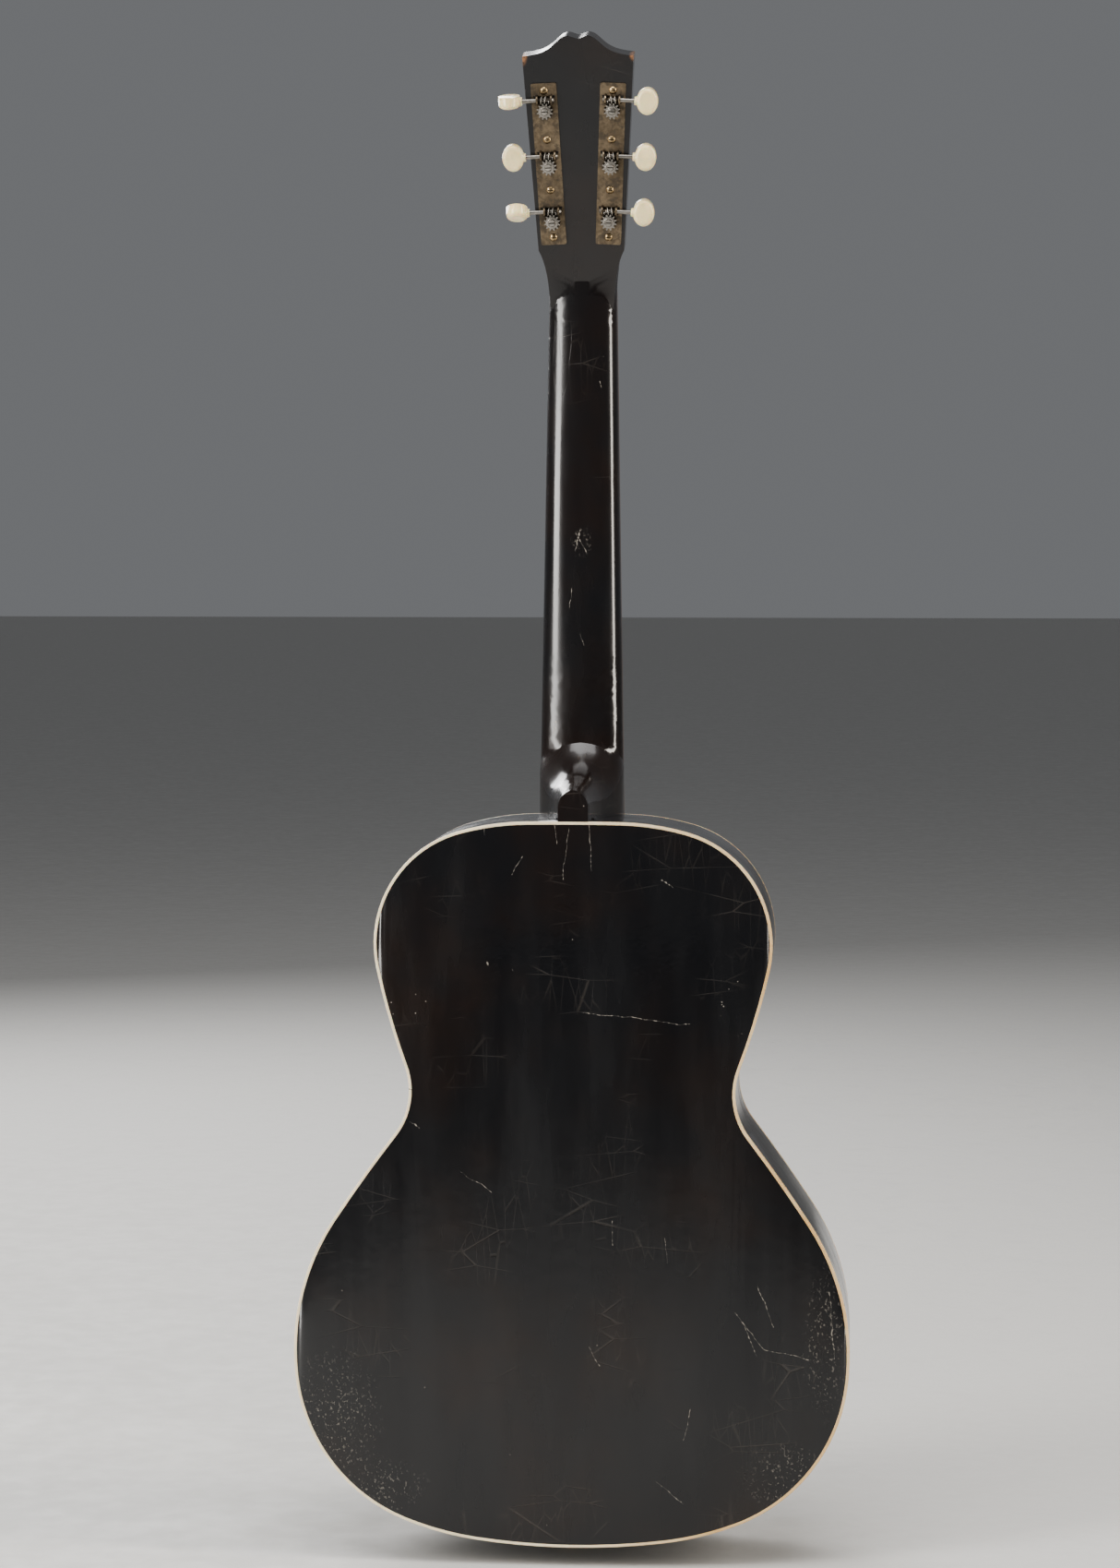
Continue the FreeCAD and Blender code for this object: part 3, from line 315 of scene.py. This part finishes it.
NICKEL, _, _ = plain("nickel", (0.52, 0.50, 0.45), 0.27, 1.0, grain=(400, 400, 400), vary=0.2, recess_shade=(0.06, 0.045, 0.03))
FRET, _, _ = plain("fret_wire", (0.60, 0.58, 0.53), 0.24, 1.0, vary=0.12, recess_shade=(0.06, 0.05, 0.04))
BONE, _, _ = plain("bone", (0.76, 0.70, 0.56), 0.32, coat=0.2, grain=(900, 200, 200), vary=0.1, recess_shade=(0.3, 0.22, 0.13),
                   Subsurface_Weight=0.2, Subsurface_Scale=0.002)
GUARD, g, p = plain("guard", (0.008, 0.008, 0.009), 0.16, coat=0.5, vary=0.3)
hair = g.math("MAXIMUM", hairlines(g, (0, 0.4, 0), 1.6, 0.66, 0.70), hairlines(g, (0, -0.7, 0), 1.4, 0.67, 0.71))
g.put(p.inputs["Roughness"], g.math("ADD", 0.14, g.math("MULTIPLY", hair, 0.4)))
PLAIN_STRING, _, _ = plain("plain_string", (0.62, 0.61, 0.58), 0.25, 1.0, vary=0.1)
WOUND_STRING, g, p = plain("wound_string", (0.50, 0.34, 0.17), 0.34, 1.0, vary=0.18, recess_shade=(0.08, 0.05, 0.02))
wave = g.add("ShaderNodeTexWave", wave_type="BANDS", bands_direction="Z")
g.put(wave.inputs["Vector"], g.place())
wave.inputs["Scale"].default_value = 900
g.put(p.inputs["Normal"], g.bump(wave.outputs["Fac"], 0.00012, 0.9))
PEARL, g, p = plain("pearl", (0.80, 0.80, 0.76), 0.18, coat=0.4, grain=(500, 500, 200), vary=0.12)
p.inputs["Sheen Weight"].default_value = 0.2


def wood(name, dark, light, rough, ring=(9, 120, 120), coat=0.0, pore=0.5):
    m, g, p = material(name, dark, rough, coat=coat)
    fibre = g.noise(g.place((ring[1], ring[1], ring[0])), 1.0, 6.0, 0.62, 0.4)
    figure = g.noise(g.place((ring[2] * 0.3, ring[2] * 0.3, ring[0] * 0.4)), 1.0, 3.0, 0.5, 0.8)
    pores = g.step(g.noise(g.place((900, 900, 45)), 1.0, 2.0), 0.60, 0.70)
    t = g.math("ADD", g.math("MULTIPLY", fibre, 0.65), g.math("MULTIPLY", figure, 0.35))
    c = g.mix(g.step(t, 0.34, 0.66), dark, light)
    c = g.mix(g.math("MULTIPLY", pores, pore), c, tuple(v * 0.3 for v in dark))
    g.put(p.inputs["Base Color"], c)
    g.put(p.inputs["Roughness"], g.step(t, 0.3, 0.7, (rough * 1.15, rough * 0.85)))
    g.put(p.inputs["Normal"], g.bump(g.math("SUBTRACT", fibre, pores), 0.0002, 0.5))
    return m


ROSEWOOD = wood("rosewood", (0.030, 0.013, 0.008), (0.095, 0.042, 0.024), 0.45)
SPRUCE = wood("inner_wood", (0.42, 0.27, 0.13), (0.62, 0.44, 0.25), 0.65, ring=(6, 420, 200), pore=0.15)
MAHOGANY = wood("block_wood", (0.22, 0.095, 0.045), (0.36, 0.17, 0.085), 0.6, ring=(14, 240, 160), pore=0.4)

# ------------------------------------------------------------------ finish on the CAD nodes
SLOTS = {
    LACQUER_BACK: ["back_plate"], LACQUER_SIDE: ["treble_side", "bass_side", "soundboard"], LACQUER_NECK: ["neck"],
    CREAM: ["back_binding", "top_binding", "rosette", "end_pin", "bridge_pins"], BRASS: ["tuner_plate_bass", "tuner_plate_treble"],
    STEEL: ["truss_rod"], SCREW: ["headstock_screws"], NICKEL: ["post_bushings"], FRET: ["frets"],
    BONE: ["nut", "saddle"], GUARD: ["pickguard", "truss_rod_cover"], PEARL: ["fret_markers"],
    ROSEWOOD: ["fingerboard", "bridge"], MAHOGANY: ["neck_block", "tail_block", "back_braces"],
    SPRUCE: ["linings", "x_braces", "soundboard_braces", "bridge_plate"],
}
for n in range(1, 7):
    SLOTS.setdefault(BUTTON, []).append("tuner_button_%d" % n)
    SLOTS[STEEL] += ["worm_shaft_%d" % n, "tuner_gear_%d" % n]
    SLOTS[NICKEL].append("string_post_%d" % n)
    SLOTS.setdefault(PLAIN_STRING if n < 3 else WOUND_STRING, []).append("string_%d" % n)
ROUND = {"back_plate": 0.0, "soundboard": 0.0, "neck": 0.0006, "bridge": 0.0006, "pickguard": 0.0003, "nut": 0.0004,
         "back_binding": 0.0004, "top_binding": 0.0004, "tuner_plate_bass": 0.00022, "tuner_plate_treble": 0.00022,
         "fingerboard": 0.0003, "truss_rod_cover": 0.0003, "end_pin": 0.0003, "post_bushings": 0.0002}


def dress(obj, mat, width, weighted):
    """Material, soft edges and smooth shading; creases sharper than 40 degrees stay sharp."""
    obj.data.materials.clear()
    obj.data.materials.append(mat)
    for face in obj.data.polygons:
        face.material_index = 0
        face.use_smooth = True
    weld = obj.modifiers.new("weld", "WELD")
    weld.merge_threshold = 0.000002
    if width:
        b = obj.modifiers.new("round", "BEVEL")
        b.width, b.segments, b.limit_method, b.angle_limit = width, 2, "ANGLE", math.radians(38)
        b.harden_normals = True
        b.miter_outer = "MITER_ARC"
    if weighted:
        obj.modifiers.new("normals", "WEIGHTED_NORMAL").keep_sharp = True


for mat, names in SLOTS.items():
    for name in names:
        width = ROUND.get(name, 0.00012 if name.startswith(("tuner_gear", "string_post")) else 0.0)
        dress(NODES[name], mat, width, True)

# ------------------------------------------------------------------ stage, light, camera
FLOOR_Z = -0.0032


def sheet(name, corners, mat):
    me = bpy.data.meshes.new(name)
    me.from_pydata(corners, [], [tuple(range(len(corners)))])
    o = bpy.data.objects.new(name, me)
    bpy.context.collection.objects.link(o)
    me.materials.append(mat)
    return o


PALE, g, p = plain("pale_floor", (0.60, 0.59, 0.57), 0.7, vary=0.03, grain=(12, 12, 12))
sheet("floor", [(-90, -90, FLOOR_Z), (90, -90, FLOOR_Z), (90, 90, FLOOR_Z), (-90, 90, FLOOR_Z)], PALE)


def light(name, at, towards, size, power, color=(1, 1, 1)):
    d = bpy.data.lights.new(name, "AREA")
    d.shape, d.size, d.size_y, d.energy, d.color = "RECTANGLE", size[0], size[1], power, color
    o = bpy.data.objects.new(name, d)
    bpy.context.collection.objects.link(o)
    o.location = at
    o.rotation_euler = (Vector(towards) - Vector(at)).to_track_quat("-Z", "Y").to_euler()
    return o


MID = (0.0, 0.0, 0.5)
light("key_left", (1.9, 1.4, 1.0), MID, (0.8, 2.4), 70, (1.0, 0.98, 0.95))
light("strip_right", (-2.1, 0.5, 1.0), MID, (0.5, 2.4), 45, (1.0, 0.94, 0.86))
light("front_soft", (1.2, -2.2, 1.8), MID, (1.6, 1.6), 50)
light("top_soft", (0.0, 1.0, 3.0), MID, (2.4, 1.6), 55)
world = bpy.data.worlds.new("studio")
bpy.context.scene.world = world
world.use_nodes = True
world.node_tree.nodes["Background"].inputs[0].default_value = (0.80, 0.82, 0.85, 1)
world.node_tree.nodes["Background"].inputs[1].default_value = 0.20

YAW, LEAN, ROLL = math.radians(4.295), math.radians(3.219), math.radians(0.115)
cam = bpy.data.cameras.new("camera")
cam.sensor_width, cam.lens, cam.clip_end = 36.0, 87.6, 50
camera = bpy.data.objects.new("camera", cam)
bpy.context.collection.objects.link(camera)
right = Vector((-math.cos(YAW), -math.sin(YAW), 0)).normalized()
forward = Vector((math.sin(YAW) * math.cos(LEAN), -math.cos(YAW) * math.cos(LEAN), -math.sin(LEAN)))
up = right.cross(forward)
turn = Matrix.Rotation(-ROLL, 3, forward)
right, up = turn @ right, turn @ up
camera.matrix_world = Matrix.Translation((-0.17113, 2.42007, 0.62441)) @ Matrix(
    ((right.x, up.x, -forward.x), (right.y, up.y, -forward.y), (right.z, up.z, -forward.z))).to_4x4()
bpy.context.scene.camera = camera
bpy.context.scene.view_settings.view_transform = "AgX"
bpy.context.scene.view_settings.look = "AgX - Medium High Contrast"
